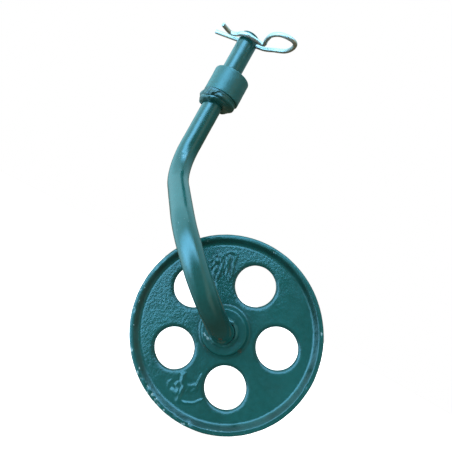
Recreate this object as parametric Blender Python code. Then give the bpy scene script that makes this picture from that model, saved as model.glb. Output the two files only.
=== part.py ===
"""Trailing jockey wheel for a trailer jack: a cast wheel on a cranked round spindle.

The frame: +Z runs up the spindle's shank, which is the steering axis. The origin lies on that axis, on top of
the welded stop ring. The axle lies along Y and the wheel trails towards +X. All sizes are in metres.
"""

import math

import bmesh
import bpy
from mathutils import Matrix, Vector

# ---------------------------------------------------------------- driving dimensions
# wheel casting
WHEEL_RADIUS = 0.100
RIM_WIDTH = 0.034
RIM_THICKNESS = 0.0100      # tread to the foot of the rim's inner wall
LIP_WIDTH = 0.0040          # flat edge of the rim, with its outer rounding
RIM_ROUNDING = 0.0025
WEB_THICKNESS = 0.014
WEB_RECESS = 0.005          # rim face to web on the crank's side; the far side is deeper
HUB_LENGTH = 0.038
HUB_WALL = 0.0108           # bore to the outside of the boss
HUB_DRAFT = 0.0025          # how much wider the boss is at the web
CORE_FILLET = 0.004         # where web meets boss and rim
HOLE_COUNT = 5
HOLE_PITCH_RADIUS = 0.0564
HOLE_THROAT_RADIUS = 0.0215
HOLE_THROAT_DEPTH = 0.0026  # front face of the web to the narrowest place
HOLE_FLARE = 0.0048         # how far each hole rounds out to the front face
HOLE_DRAFT = 0.0028         # how far it widens to the back face
FIRST_HOLE_ANGLE = math.radians(10.6)

# cranked spindle
BAR_DIAMETER = 0.024
TRAIL = 0.1354              # shank axis to axle
AXLE_DROP = 0.232           # stop ring to axle
SHANK_LENGTH = 0.086        # stop ring to the top end
KNEE_RISE = 0.1306          # axle up to the corner where the shank starts to lean
CRANK_REACH = 0.0725        # axle to the corner of the crank's bulge, square to the axle
ELBOW_TURN = math.radians(51.2)
KNEE_RADIUS = 0.0608
CRANK_RADIUS = 0.0798
ELBOW_RADIUS = 0.025
BAR_CHAMFER = 0.0015

# stop ring and the loose sleeve on it
RING_SECTION = 0.0088       # radial width of the ring
RING_HEIGHT = 0.0115
RING_ROUNDING = 0.0035
SLEEVE_PLAY = 0.0048        # radial play of the sleeve on the bar
SLEEVE_WALL = 0.0052
SLEEVE_LENGTH = 0.030
SLEEVE_SIDE_SHIFT = 0.0042  # it hangs to one side within that play
SLEEVE_CHAMFER = 0.0010

# washers, beads and pins
STOP_WASHER_WIDTH = 0.0036  # radial
STOP_WASHER_THICKNESS = 0.003
END_WASHER_WIDTH = 0.0085
END_WASHER_THICKNESS = 0.003
WASHER_ROUNDING = 0.0006
BEAD_SIZE = 0.0034
CLIP_WIRE = 0.005
CLIP_INSET = 0.0085         # top end of the bar to the clip's hole
CLIP_TURN = math.radians(-4.0)
CLIP_EASE = 0.0014          # air between the clip's wave and the bar
CLIP_POINT = 0.0326         # straight leg beyond the bar
CLIP_LOOP_LENGTH = 0.041
CLIP_LOOP_WIDTH = 0.0335
PIN_WIRE = 0.0022
PIN_EYE = 0.0027            # radius of the split pin's eye
PIN_PROUD = 0.0014          # how far the eye and the bends stand off the axle
PIN_TIP = 0.0062            # length of each bent tip
PIN_SPREAD = 0.0068         # how far each tip is bent aside
PIN_SETBACK = 0.0042        # end washer to the split pin's axis
AXLE_END = 0.0060           # split pin's axis to the end of the axle

# clearances
GAP = 0.0003                # between pieces that touch
RUNNING_CLEARANCE = 0.0004  # radial, wheel on axle
HOLE_CLEARANCE = 0.0004     # radial, wire in its hole

# plain colours
ENAMEL = (0.012, 0.085, 0.080)
ZINC = (0.58, 0.59, 0.60)
GUIDE = (0.5, 0.5, 0.5)

# facets
WHEEL_SEGMENTS = 60
RING_SEGMENTS = 36
BAR_SEGMENTS = 24
WIRE_SEGMENTS = 8
HOLE_SEGMENTS = 24
HOLE_STEPS = 4
DRILL_SEGMENTS = 16
BEND_STEPS = 10
FILLET_STEPS = 3

# ---------------------------------------------------------------- places that follow
bar_radius = BAR_DIAMETER / 2
axle = Vector((TRAIL, 0.0, -AXLE_DROP))
hub_face = HUB_LENGTH / 2
stop_washer_front = hub_face + GAP + STOP_WASHER_THICKNESS
elbow_start = stop_washer_front + GAP + BEAD_SIZE
end_washer_back = hub_face + GAP + END_WASHER_THICKNESS
pin_y = end_washer_back + PIN_SETBACK
axle_end_y = pin_y + AXLE_END
clip_z = SHANK_LENGTH - CLIP_INSET
clip_axis = Vector((math.cos(CLIP_TURN), math.sin(CLIP_TURN), 0.0))
clip_side = Vector((math.sin(CLIP_TURN), -math.cos(CLIP_TURN), 0.0))
pin_leg_offset = PIN_WIRE / 2 + GAP / 2 + 0.0001
UP = Vector((0.0, 0.0, 1.0))

# Local +Z of a turned piece on the axle points to +Y, away from the crank.
ALONG_AXLE = Matrix.Rotation(-math.pi / 2, 4, "X")


def clear_scene():
    for old in list(bpy.data.objects):
        bpy.data.objects.remove(old, do_unlink=True)


def make_material(name, colour, roughness, metallic):
    material = bpy.data.materials.new(name)
    material.use_nodes = True
    shader = material.node_tree.nodes["Principled BSDF"]
    shader.inputs["Base Color"].default_value = (*colour, 1.0)
    shader.inputs["Roughness"].default_value = roughness
    shader.inputs["Metallic"].default_value = metallic
    return material


def add_object(name, bm, place, colour, roughness=0.35, metallic=0.0):
    """Turns a bmesh into a named object with its own material, shaded smooth but for its sharp edges."""
    bmesh.ops.recalc_face_normals(bm, faces=bm.faces)
    mesh = bpy.data.meshes.new(name)
    bm.to_mesh(mesh)
    bm.free()
    mesh.shade_smooth()
    mesh.set_sharp_from_angle(angle=math.radians(35))
    obj = bpy.data.objects.new(name, mesh)
    obj.matrix_world = place
    bpy.context.scene.collection.objects.link(obj)
    mesh.materials.append(make_material(name + "_finish", colour, roughness, metallic))
    return obj


def cut(target, cutter):
    """Takes the cutter out of the target and leaves the cutter as a wire guide."""
    cutter.hide_render = True
    cutter.display_type = "WIRE"
    boolean = target.modifiers.new("cut_" + cutter.name, "BOOLEAN")
    boolean.operation = "DIFFERENCE"
    boolean.solver = "EXACT"
    boolean.object = cutter


def round_corners(corners):
    """Closed outline from (radius, height, fillet) corners; each fillet becomes an arc of a few steps."""
    outline = []
    for i, (r, h, fillet) in enumerate(corners):
        here = Vector((r, h))
        if fillet == 0.0:
            outline.append(here)
            continue
        before = (Vector(corners[i - 1][:2]) - here).normalized()
        after = (Vector(corners[(i + 1) % len(corners)][:2]) - here).normalized()
        half = before.angle(after) / 2
        centre = here + (before + after).normalized() * fillet / math.sin(half)
        start = here + before * fillet / math.tan(half) - centre
        end = here + after * fillet / math.tan(half) - centre
        turn = start.angle(end)
        for k in range(FILLET_STEPS + 1):
            share = k / FILLET_STEPS
            a = math.sin((1 - share) * turn) / math.sin(turn)
            b = math.sin(share * turn) / math.sin(turn)
            outline.append(centre + start * a + end * b)
    return outline


def turned(outline, segments):
    """A closed outline of (radius, height) points spun once round local Z."""
    bm = bmesh.new()
    verts = [bm.verts.new((p[0], 0.0, p[1])) for p in outline]
    edges = [bm.edges.new((verts[i - 1], verts[i])) for i in range(len(verts))]
    bmesh.ops.spin(bm, geom=verts + edges, cent=(0, 0, 0), axis=(0, 0, 1), angle=2 * math.pi, steps=segments,
                   use_merge=True)
    return bm


def stacked(places, radii, segments):
    """A closed skin over a row of rings, one for each placing matrix and radius, with a flat cap at each end."""
    bm = bmesh.new()
    rings = []
    for place, radius in zip(places, radii):
        made = bmesh.ops.create_circle(bm, segments=segments, radius=radius, matrix=place)
        rings.append(made["verts"])
    for low, high in zip(rings, rings[1:]):
        for i in range(segments):
            j = (i + 1) % segments
            bm.faces.new((low[i], low[j], high[j], high[i]))
    bm.faces.new(rings[0])
    bm.faces.new(rings[-1])
    return bm


def swept(points, tangents, radii, segments):
    """A round bar through the points: one ring square to each tangent, turned as little as possible."""
    turn = UP.rotation_difference(tangents[0])
    places = []
    for i, (point, tangent) in enumerate(zip(points, tangents)):
        if i:
            turn = tangents[i - 1].rotation_difference(tangent) @ turn
        places.append(Matrix.LocRotScale(point, turn, None))
    return stacked(places, radii, segments)


def bent_path(corners, bends, steps):
    """Points and tangents along straight runs joined by arcs; bends holds one radius for each inner corner."""
    points = [corners[0]]
    tangents = [(corners[1] - corners[0]).normalized()]
    for i, radius in enumerate(bends, start=1):
        incoming = (corners[i] - corners[i - 1]).normalized()
        outgoing = (corners[i + 1] - corners[i]).normalized()
        turn = incoming.angle(outgoing)
        start = corners[i] - incoming * radius * math.tan(turn / 2)
        inward = (outgoing - incoming * incoming.dot(outgoing)).normalized()
        for k in range(steps + 1):
            angle = turn * k / steps
            points.append(start + incoming * radius * math.sin(angle) + inward * radius * (1 - math.cos(angle)))
            tangents.append(incoming * math.cos(angle) + inward * math.sin(angle))
    points.append(corners[-1])
    tangents.append(tangents[-1].copy())
    return points, tangents


def smooth_curve(knots, steps):
    """Points along a Catmull-Rom curve through the knots."""
    ends = [knots[0] * 2 - knots[1]] + knots + [knots[-1] * 2 - knots[-2]]
    points = []
    for i in range(1, len(ends) - 2):
        p0, p1, p2, p3 = ends[i - 1:i + 3]
        for k in range(steps):
            t = k / steps
            points.append(0.5 * (2 * p1 + (p2 - p0) * t + (2 * p0 - 5 * p1 + 4 * p2 - p3) * t ** 2
                                 + (3 * p1 - p0 - 3 * p2 + p3) * t ** 3))
    points.append(knots[-1])
    return points


def wire(name, place, points, diameter, tip, colour):
    """A round wire through local points, with its two ends drawn down to the tip's share of the radius."""
    tangents = [(b - a).normalized() for a, b in zip(points, points[1:] + [points[-1] * 2 - points[-2]])]
    radii = [diameter / 2] * len(points)
    radii[0] = radii[-1] = diameter / 2 * tip
    bm = swept(points, tangents, radii, WIRE_SEGMENTS)
    return add_object(name, bm, place, colour, roughness=0.3, metallic=0.9)


def make_wheel():
    bore = bar_radius + RUNNING_CLEARANCE
    boss = bore + HUB_WALL
    rim_face = RIM_WIDTH / 2
    web_front = WEB_RECESS - rim_face
    front_half = wheel_half(bore, boss, rim_face, -web_front)
    back_half = wheel_half(bore, boss, rim_face, web_front + WEB_THICKNESS)
    corners = [(r, -h, fillet) for r, h, fillet in front_half] + back_half[::-1]
    bm = turned(round_corners(corners), WHEEL_SEGMENTS)
    place = Matrix.Translation(axle) @ ALONG_AXLE
    wheel = add_object("wheel", bm, place, ENAMEL)
    for number in range(HOLE_COUNT):
        angle = FIRST_HOLE_ANGLE + number * 2 * math.pi / HOLE_COUNT
        cut(wheel, make_hole_cutter(f"wheel_hole_{number + 1}", angle, web_front))


def wheel_half(bore, boss, rim_face, web_face):
    """Corners of one side of the wheel's section, from the bore out to the tread, as (radius, height, fillet)."""
    return [
        (bore, hub_face, 0.0),
        (boss, hub_face, 0.0018),
        (boss + HUB_DRAFT, web_face, CORE_FILLET),
        (WHEEL_RADIUS - RIM_THICKNESS, web_face, CORE_FILLET),
        (WHEEL_RADIUS - LIP_WIDTH, rim_face, 0.0008),
        (WHEEL_RADIUS, rim_face, RIM_ROUNDING),
    ]


def make_hole_cutter(name, angle, web_front):
    """A spool: a quarter ellipse in from the front face to the throat, then a cone out through the back face."""
    throat = web_front + HOLE_THROAT_DEPTH
    web_back = web_front + WEB_THICKNESS
    beyond = 2 * CORE_FILLET
    widening = HOLE_DRAFT / (web_back - throat)
    radii = [HOLE_THROAT_RADIUS + HOLE_FLARE]
    heights = [web_front - beyond]
    for k in range(HOLE_STEPS + 1):
        lean = math.pi / 2 * (1 - k / HOLE_STEPS)
        radii.append(HOLE_THROAT_RADIUS + HOLE_FLARE * (1 - math.cos(lean)))
        heights.append(throat - HOLE_THROAT_DEPTH * math.sin(lean))
    radii.append(HOLE_THROAT_RADIUS + widening * (web_back + beyond - throat))
    heights.append(web_back + beyond)
    places = [Matrix.Translation((0.0, 0.0, h)) for h in heights]
    bm = stacked(places, radii, HOLE_SEGMENTS)
    centre = axle + Vector((math.cos(angle), 0.0, math.sin(angle))) * HOLE_PITCH_RADIUS
    return add_object(name, bm, Matrix.Translation(centre) @ ALONG_AXLE, GUIDE)


def make_spindle():
    """Shank down the Z axis, knee, crank that bulges out in front of the rim, elbow, then the axle along Y."""
    toward_knee = Vector((-TRAIL, 0.0, KNEE_RISE)).normalized()
    elbow_forward = elbow_start + ELBOW_RADIUS * math.tan(ELBOW_TURN / 2)
    crank_forward = elbow_forward + CRANK_REACH / math.tan(ELBOW_TURN)
    corners = [
        Vector((0.0, 0.0, SHANK_LENGTH)),
        Vector((0.0, 0.0, KNEE_RISE - AXLE_DROP)),
        axle + toward_knee * CRANK_REACH + Vector((0.0, -crank_forward, 0.0)),
        axle + Vector((0.0, -elbow_forward, 0.0)),
        axle + Vector((0.0, axle_end_y, 0.0)),
    ]
    points, tangents = bent_path(corners, (KNEE_RADIUS, CRANK_RADIUS, ELBOW_RADIUS), BEND_STEPS)
    radii = [bar_radius] * len(points)
    points.insert(1, points[0] + tangents[0] * BAR_CHAMFER)
    points.insert(-1, points[-1] - tangents[-1] * BAR_CHAMFER)
    tangents.insert(1, tangents[0])
    tangents.insert(-1, tangents[-1])
    radii = [bar_radius - BAR_CHAMFER] + radii + [bar_radius - BAR_CHAMFER]
    bm = swept(points, tangents, radii, BAR_SEGMENTS)
    spindle = add_object("spindle", bm, Matrix.Identity(4), ENAMEL, roughness=0.2)
    clip_hole = make_drill("clip_hole", Vector((0.0, 0.0, clip_z)), clip_axis, CLIP_WIRE / 2 + HOLE_CLEARANCE)
    pin_bore = pin_leg_offset + PIN_WIRE / 2 + HOLE_CLEARANCE
    pin_hole = make_drill("pin_hole", axle + Vector((0.0, pin_y, 0.0)), UP, pin_bore)
    cut(spindle, clip_hole)
    cut(spindle, pin_hole)


def make_drill(name, centre, axis, radius):
    """A round cutter through the bar."""
    bm = bmesh.new()
    bmesh.ops.create_cone(bm, cap_ends=True, segments=DRILL_SEGMENTS, radius1=radius, radius2=radius,
                          depth=2 * BAR_DIAMETER)
    turn = UP.rotation_difference(axis)
    return add_object(name, bm, Matrix.LocRotScale(centre, turn, None), GUIDE)


def make_ring(name, place, inner, outer, height, fillet, colour):
    """A turned ring from local z = 0 up to its height, with every outer corner rounded."""
    corners = [(inner, 0.0, 0.0), (outer, 0.0, fillet), (outer, height, fillet), (inner, height, 0.0)]
    bm = turned(round_corners(corners), RING_SEGMENTS)
    return add_object(name, bm, place, colour)


def make_weld_bead(name, place, size, lumps):
    """A hand-laid bead round the bar: a quarter-round section whose size swells and shrinks in lumps."""
    inner = bar_radius + GAP
    section_steps = 5
    bm = bmesh.new()
    rings = []
    for i in range(RING_SEGMENTS):
        angle = 2 * math.pi * i / RING_SEGMENTS
        swell = size * (0.86 + 0.10 * math.sin(lumps * angle) + 0.04 * math.sin(3 * angle + 1.0))
        outward = Vector((math.cos(angle), math.sin(angle), 0.0))
        section = [outward * inner]
        for k in range(section_steps + 1):
            lean = math.pi / 2 * k / section_steps
            section.append(outward * (inner + swell * math.cos(lean)) + UP * size * math.sin(lean))
        rings.append([bm.verts.new(p) for p in section])
    for i, ring in enumerate(rings):
        previous = rings[i - 1]
        for k in range(len(ring)):
            bm.faces.new((previous[k - 1], previous[k], ring[k], ring[k - 1]))
    return add_object(name, bm, place, ENAMEL, roughness=0.45)


def make_stop_and_sleeve():
    """The ring welded to the shank, its bead underneath, and the loose sleeve resting on top."""
    ring_inner = bar_radius + GAP
    ring_place = Matrix.Translation((0.0, 0.0, -RING_HEIGHT))
    make_ring("stop_ring", ring_place, ring_inner, bar_radius + RING_SECTION, RING_HEIGHT, RING_ROUNDING, ENAMEL)
    upside_down = Matrix.Translation((0.0, 0.0, -RING_HEIGHT - GAP)) @ Matrix.Rotation(math.pi, 4, "X")
    make_weld_bead("stop_ring_weld", upside_down, BEAD_SIZE, 7)
    sleeve_inner = bar_radius + SLEEVE_PLAY
    sleeve_place = Matrix.Translation((SLEEVE_SIDE_SHIFT, 0.0, GAP))
    make_ring("thrust_sleeve", sleeve_place, sleeve_inner, sleeve_inner + SLEEVE_WALL, SLEEVE_LENGTH,
              SLEEVE_CHAMFER, ENAMEL)


def make_axle_hardware():
    """Welded stop washer on the crank's side of the hub; loose washer and split pin on the far side."""
    front = Matrix.Translation(axle + Vector((0.0, -stop_washer_front, 0.0))) @ ALONG_AXLE
    make_ring("hub_stop_washer", front, bar_radius + GAP, bar_radius + STOP_WASHER_WIDTH, STOP_WASHER_THICKNESS,
              WASHER_ROUNDING, ENAMEL)
    bead_foot = Matrix.Translation(axle + Vector((0.0, -stop_washer_front - GAP, 0.0)))
    make_weld_bead("hub_stop_weld", bead_foot @ Matrix.Rotation(math.pi / 2, 4, "X"), BEAD_SIZE, 5)
    back = Matrix.Translation(axle + Vector((0.0, hub_face + GAP, 0.0))) @ ALONG_AXLE
    make_ring("end_washer", back, bar_radius + GAP, bar_radius + END_WASHER_WIDTH, END_WASHER_THICKNESS,
              WASHER_ROUNDING, ZINC)
    make_split_pin()


def make_split_pin():
    """A folded wire: two legs side by side through the axle, an eye above it and both tips spread below it."""
    reach = bar_radius + PIN_PROUD
    side = pin_leg_offset
    down_leg = [
        Vector((PIN_SPREAD + side, -reach - PIN_TIP)),
        Vector((PIN_SPREAD * 0.45 + side, -reach - PIN_TIP * 0.55)),
        Vector((side, -reach)),
        Vector((side, -reach * 0.3)),
        Vector((side, reach * 0.3)),
        Vector((side, reach)),
    ]
    eye_centre = reach + 2.1 * PIN_EYE
    around = []
    for k in range(9):
        angle = math.radians(-50 + 35 * k)
        around.append(Vector((PIN_EYE * math.cos(angle), eye_centre + PIN_EYE * math.sin(angle))))
    up_leg = [Vector((-p.x, p.y)) for p in reversed(down_leg)]
    flat = smooth_curve(down_leg + around + up_leg, 3)
    points = [Vector((p.x, 0.0, p.y)) for p in flat]
    place = Matrix.Translation(axle + Vector((0.0, pin_y, 0.0)))
    wire("split_pin", place, points, PIN_WIRE, 0.7, ZINC)


def make_clip():
    """Hairpin clip in one level plane: wavy leg over the bar, sprung loop, then the straight leg through it."""
    hug = bar_radius + CLIP_WIRE / 2 + CLIP_EASE
    neck = CLIP_WIRE * 1.7
    far = hug + 0.0062
    loop_mid = far + CLIP_LOOP_LENGTH * 0.58
    loop_end = far + CLIP_LOOP_LENGTH
    wave = [
        Vector((-hug * 1.92, CLIP_WIRE * 3.9)),
        Vector((-hug * 1.62, CLIP_WIRE * 2.45)),
        Vector((-hug * 1.30, CLIP_WIRE * 1.60)),
    ]
    over_bar = [Vector((hug * math.cos(a), hug * math.sin(a))) for a in map(math.radians, (138, 112, 84, 58))]
    loop = [
        Vector((far, neck + 0.0003)),
        Vector((far + CLIP_LOOP_LENGTH * 0.12, neck + CLIP_LOOP_WIDTH * 0.30)),
        Vector((far + CLIP_LOOP_LENGTH * 0.30, neck + CLIP_LOOP_WIDTH * 0.65)),
        Vector((loop_mid, neck + CLIP_LOOP_WIDTH * 0.84)),
        Vector((loop_end - CLIP_LOOP_LENGTH * 0.12, neck + CLIP_LOOP_WIDTH * 0.80)),
        Vector((loop_end, neck + CLIP_LOOP_WIDTH * 0.62)),
        Vector((loop_end - CLIP_LOOP_LENGTH * 0.10, neck + CLIP_LOOP_WIDTH * 0.32)),
        Vector((far + CLIP_LOOP_LENGTH * 0.68, CLIP_WIRE * 2.1)),
        Vector((far + CLIP_LOOP_LENGTH * 0.34, CLIP_WIRE * 1.05)),
    ]
    straight = [
        Vector((far + CLIP_LOOP_LENGTH * 0.05, CLIP_WIRE * 0.16)),
        Vector((bar_radius + 0.001, 0.0)),
        Vector((0.0, 0.0)),
        Vector((-bar_radius - CLIP_POINT, 0.0)),
    ]
    flat = smooth_curve(wave + over_bar + loop + straight, 4)
    points = [clip_axis * p.x + clip_side * p.y for p in flat]
    wire("retaining_clip", Matrix.Translation((0.0, 0.0, clip_z)), points, CLIP_WIRE, 0.8, ZINC)


def main():
    clear_scene()
    make_wheel()
    make_spindle()
    make_stop_and_sleeve()
    make_axle_hardware()
    make_clip()


main()
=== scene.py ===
import itertools
import math

import bmesh
import bpy
import numpy as np
from mathutils import Matrix, Vector


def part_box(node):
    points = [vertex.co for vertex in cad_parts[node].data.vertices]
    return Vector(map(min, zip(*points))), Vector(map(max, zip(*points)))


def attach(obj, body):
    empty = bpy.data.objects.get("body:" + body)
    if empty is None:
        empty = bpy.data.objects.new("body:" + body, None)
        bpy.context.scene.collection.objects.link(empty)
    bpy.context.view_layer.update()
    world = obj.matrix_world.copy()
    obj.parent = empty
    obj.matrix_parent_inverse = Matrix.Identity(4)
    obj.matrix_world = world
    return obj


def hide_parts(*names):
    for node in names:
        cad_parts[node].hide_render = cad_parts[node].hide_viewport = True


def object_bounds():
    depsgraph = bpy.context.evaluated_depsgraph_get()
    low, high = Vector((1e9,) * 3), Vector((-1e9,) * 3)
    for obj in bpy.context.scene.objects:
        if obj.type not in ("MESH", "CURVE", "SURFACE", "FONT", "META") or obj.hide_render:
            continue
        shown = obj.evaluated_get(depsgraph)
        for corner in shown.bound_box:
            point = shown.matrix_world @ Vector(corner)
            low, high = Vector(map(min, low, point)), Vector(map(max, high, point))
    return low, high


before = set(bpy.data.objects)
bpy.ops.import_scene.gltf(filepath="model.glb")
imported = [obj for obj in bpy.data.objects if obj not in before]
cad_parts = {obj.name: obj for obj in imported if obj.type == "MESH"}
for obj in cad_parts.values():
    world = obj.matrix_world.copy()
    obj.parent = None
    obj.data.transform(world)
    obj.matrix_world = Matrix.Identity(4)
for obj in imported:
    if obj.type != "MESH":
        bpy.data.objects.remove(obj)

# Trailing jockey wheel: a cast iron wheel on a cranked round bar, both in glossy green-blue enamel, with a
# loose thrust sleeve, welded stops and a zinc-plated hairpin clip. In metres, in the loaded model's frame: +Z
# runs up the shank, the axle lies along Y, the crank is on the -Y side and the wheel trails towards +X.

cad_box = [list(corner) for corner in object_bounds()]

# ---------------------------------------------------------------- sizes, from the loaded model's own boxes
wheel_low, wheel_high = (np.array(corner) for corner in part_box("wheel"))
AXLE = np.array([(wheel_low[0] + wheel_high[0]) / 2, 0.0, (wheel_low[2] + wheel_high[2]) / 2])
WHEEL_RADIUS = (wheel_high[0] - wheel_low[0]) / 2
HUB_FACE = (wheel_high[1] - wheel_low[1]) / 2
TRAIL = AXLE[0]
AXLE_DROP = -AXLE[2]
SHANK_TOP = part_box("spindle")[1][2]
AXLE_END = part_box("spindle")[1][1]

# wheel section
RIM_FACE = 0.017             # half its width
WEB_FRONT = 0.012            # in front of the wheel's middle
WEB_BACK = 0.002             # behind it
BORE = 0.0124
BOSS = 0.0232
BOSS_FOOT = 0.0257
RIM_FOOT = 0.0908
BACK_FOOT = 0.090
LIP_START = 0.0962
PAINT = 0.0010               # thick paint on the tread
HOLE_COUNT = 5
HOLE_PITCH = 0.0564
HOLE_THROAT = 0.0215
HOLE_THROAT_DEPTH = 0.0026
HOLE_FLARE = 0.0048
HOLE_DRAFT = 0.0026
HOLE_BACK_EDGE = 0.0012
FIRST_HOLE = math.radians(10.6)
WEB_START = 0.0291           # just outside the boss's fillet
WEB_END = 0.0870             # just inside the rim's fillet

# bar
BAR = 0.012
KNEE_RISE = 0.1306
CRANK_REACH = 0.0725
ELBOW_START = 0.0260
ELBOW_TURN = math.radians(51.2)
KNEE_RADIUS = 0.0608
CRANK_RADIUS = 0.0798
ELBOW_RADIUS = 0.025
CLIP_TURN = math.radians(-4.0)
CLIP_HEIGHT = 0.0775
CLIP_WIRE = 0.0025
CLIP_HOLE = CLIP_WIRE + 0.0004
PIN_PLACE = 0.0265
PIN_WIRE = 0.0011
PIN_HOLE = 0.00285

# pieces on the bar
WELD_BORE = BAR + 0.0003     # inside of every ring and bead
SLEEVE_WALL = 0.0052
RING_LAND = 0.0012           # height at the stop ring's top that stays flat

# How finely the grids are divided. The wheel's parts meet point to point, so they share these.
RIM_COLUMNS = 56             # in each fifth of the rim
BOSS_COLUMNS = 40            # in each fifth of the boss
SIDE_ROWS = 22               # along each straight side of a sector
WEB_ROWS = 27                # from a sector's outline to its hole
BAR_COLUMNS = 64
RING_COLUMNS = 144

MM = 0.001
UP = np.array([0.0, 0.0, 1.0])
ALONG_Y = np.array([0.0, 1.0, 0.0])


# ---------------------------------------------------------------- arithmetic on whole arrays
def unit(v):
    """A vector, or rows of them, at length one."""
    return v / np.linalg.norm(v, axis=-1, keepdims=True)


def turned_about(v, axis, angle):
    """v turned about a unit axis by each angle: v cos a + (axis x v) sin a + axis (axis . v)(1 - cos a)."""
    a = np.atleast_1d(angle)[:, None]
    return v * np.cos(a) + np.cross(axis, v) * np.sin(a) + axis * (axis @ v) * (1 - np.cos(a))


def lumps(points, size, seed):
    """Smooth lumps about `size` across, from -1 to 1: random numbers at the corners of a cubic lattice,
    blended inside each cube by s = t^2 (3 - 2t) along each side."""
    cell = points / size + seed * 7.31
    base = np.floor(cell).astype(np.int64)
    share = cell - base
    share = share * share * (3 - 2 * share)
    total = np.zeros(points.shape[:-1])
    for corner in itertools.product((0, 1), repeat=3):
        at = base + np.array(corner)
        key = at[..., 0] * 374761393 + at[..., 1] * 668265263 + at[..., 2] * 951274213 + seed * 974711
        key = (key ^ (key >> 13)) * 1274126177
        value = ((key ^ (key >> 16)) & 0xFFFF) / 32767.5 - 1
        weight = np.prod(np.where(np.array(corner) == 1, share, 1 - share), axis=-1)
        total += weight * value
    return total


def hill(distance, width):
    """A smooth bump of height one: (1 - d^2 / w^2)^2 inside the width, nothing outside."""
    return np.clip(1 - (distance / width) ** 2, 0, None) ** 2


def full_turn(count):
    """Even angles once round, without the last one, which is the first again."""
    return np.linspace(0, 2 * np.pi, count, endpoint=False)


def on_circle(radius, angles):
    """Points (radius cos a, radius sin a)."""
    return np.stack([radius * np.cos(angles), radius * np.sin(angles)], axis=-1)


def layered(points, *layers):
    """Sum of layers of lumps, each (height, size, seed)."""
    return sum(height * lumps(points, size, seed) for height, size, seed in layers)


def step(value, low, high):
    """Rises smoothly from 0 at low to 1 at high."""
    t = np.clip((value - low) / (high - low), 0, 1)
    return t * t * (3 - 2 * t)


def to_stroke(points, stroke):
    """Distance from each 2-D point to a bent line, the least over its straight parts."""
    best = np.full(points.shape[:-1], 1e9)
    for a, b in zip(stroke[:-1], stroke[1:]):
        run = b - a
        t = np.clip(((points - a) @ run) / (run @ run), 0, 1)
        best = np.minimum(best, np.linalg.norm(points - a - t[..., None] * run, axis=-1))
    return best


def rounded(corners, steps=6):
    """An open outline through (r, y, fillet) corners, with each fillet drawn as an arc of even steps."""
    outline = [np.array(corners[0][:2])]
    for before, here, after in zip(corners[:-2], corners[1:-1], corners[2:]):
        corner = np.array(here[:2])
        back = unit(np.array(before[:2]) - corner)
        ahead = unit(np.array(after[:2]) - corner)
        half = math.acos(np.clip(back @ ahead, -1, 1)) / 2
        centre = corner + unit(back + ahead) * here[2] / math.sin(half)
        start = corner + back * here[2] / math.tan(half) - centre
        end = corner + ahead * here[2] / math.tan(half) - centre
        turn = math.pi - 2 * half
        share = np.linspace(0, 1, steps + 1)[:, None]
        arc = start * np.sin((1 - share) * turn) + end * np.sin(share * turn)
        outline.extend(centre + arc / math.sin(turn))
    outline.append(np.array(corners[-1][:2]))
    return np.array(outline)


def spaced(outline, spacing):
    """The same outline with points added on its long straights, none further apart than the spacing."""
    lengths = np.linalg.norm(np.diff(outline, axis=0), axis=1)
    counts = np.maximum(1, np.ceil(lengths / spacing)).astype(int)
    runs = [a + (b - a) * np.linspace(0, 1, n, endpoint=False)[:, None]
            for a, b, n in zip(outline[:-1], outline[1:], counts)]
    return np.vstack(runs + [outline[-1:]])


# ---------------------------------------------------------------- meshes from grids of points
def faces_of(rows, columns, first, around, hidden=None):
    """Quads between neighbouring points of a grid; `around` joins the last column to the first."""
    number = first + np.arange(rows * columns).reshape(rows, columns)
    if around:
        number = np.hstack([number, number[:, :1]])
    quads = np.stack([number[:-1, :-1], number[:-1, 1:], number[1:, 1:], number[1:, :-1]], axis=-1)
    shown = np.ones(quads.shape[:2], bool) if hidden is None else ~hidden[:quads.shape[0], :quads.shape[1]]
    return quads[shown]


def shell(name, grids):
    """One closed mesh from grids of points that meet edge to edge. Each grid is (points, around, hidden
    faces). Points in the same place become one, which also closes the poles, and the faces are turned
    outwards."""
    points = []
    quads = []
    first = 0
    for grid, around, hidden in grids:
        points.append(grid.reshape(-1, 3))
        quads.append(faces_of(grid.shape[0], grid.shape[1], first, around, hidden))
        first += points[-1].shape[0]
    mesh = bpy.data.meshes.new(name)
    mesh.from_pydata(np.vstack(points), [], np.vstack(quads))
    bm = bmesh.new()
    bm.from_mesh(mesh)
    bmesh.ops.remove_doubles(bm, verts=bm.verts, dist=2e-6)
    bmesh.ops.recalc_face_normals(bm, faces=bm.faces)
    if bm.calc_volume(signed=True) < 0:
        bmesh.ops.reverse_faces(bm, faces=bm.faces)
    bm.to_mesh(mesh)
    bm.free()
    return mesh


def points_of(mesh):
    """The mesh's points and their outward directions, as arrays."""
    points = np.empty(len(mesh.vertices) * 3)
    mesh.vertices.foreach_get("co", points)
    outward = np.empty(len(mesh.vertices) * 3)
    mesh.vertex_normals.foreach_get("vector", outward)
    return points.reshape(-1, 3), outward.reshape(-1, 3)


def raise_surface(mesh, height):
    """Moves every point along its outward direction by its height."""
    points, outward = points_of(mesh)
    mesh.vertices.foreach_set("co", (points + outward * height[:, None]).ravel())
    mesh.update()


def mark(mesh, name, values):
    """Stores one number for each point, for the material to read."""
    layer = mesh.attributes.new(name, "FLOAT", "POINT")
    layer.data.foreach_set("value", np.clip(values, 0, 1).astype(np.float32))


def piece(name, mesh, material, body, node):
    """Puts a finished mesh into the scene in place of its CAD node."""
    mesh.polygons.foreach_set("use_smooth", np.ones(len(mesh.polygons), bool))
    mesh.materials.append(material)
    made = bpy.data.objects.new(name, mesh)
    bpy.context.scene.collection.objects.link(made)
    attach(made, body)
    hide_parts(node)
    return made


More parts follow.
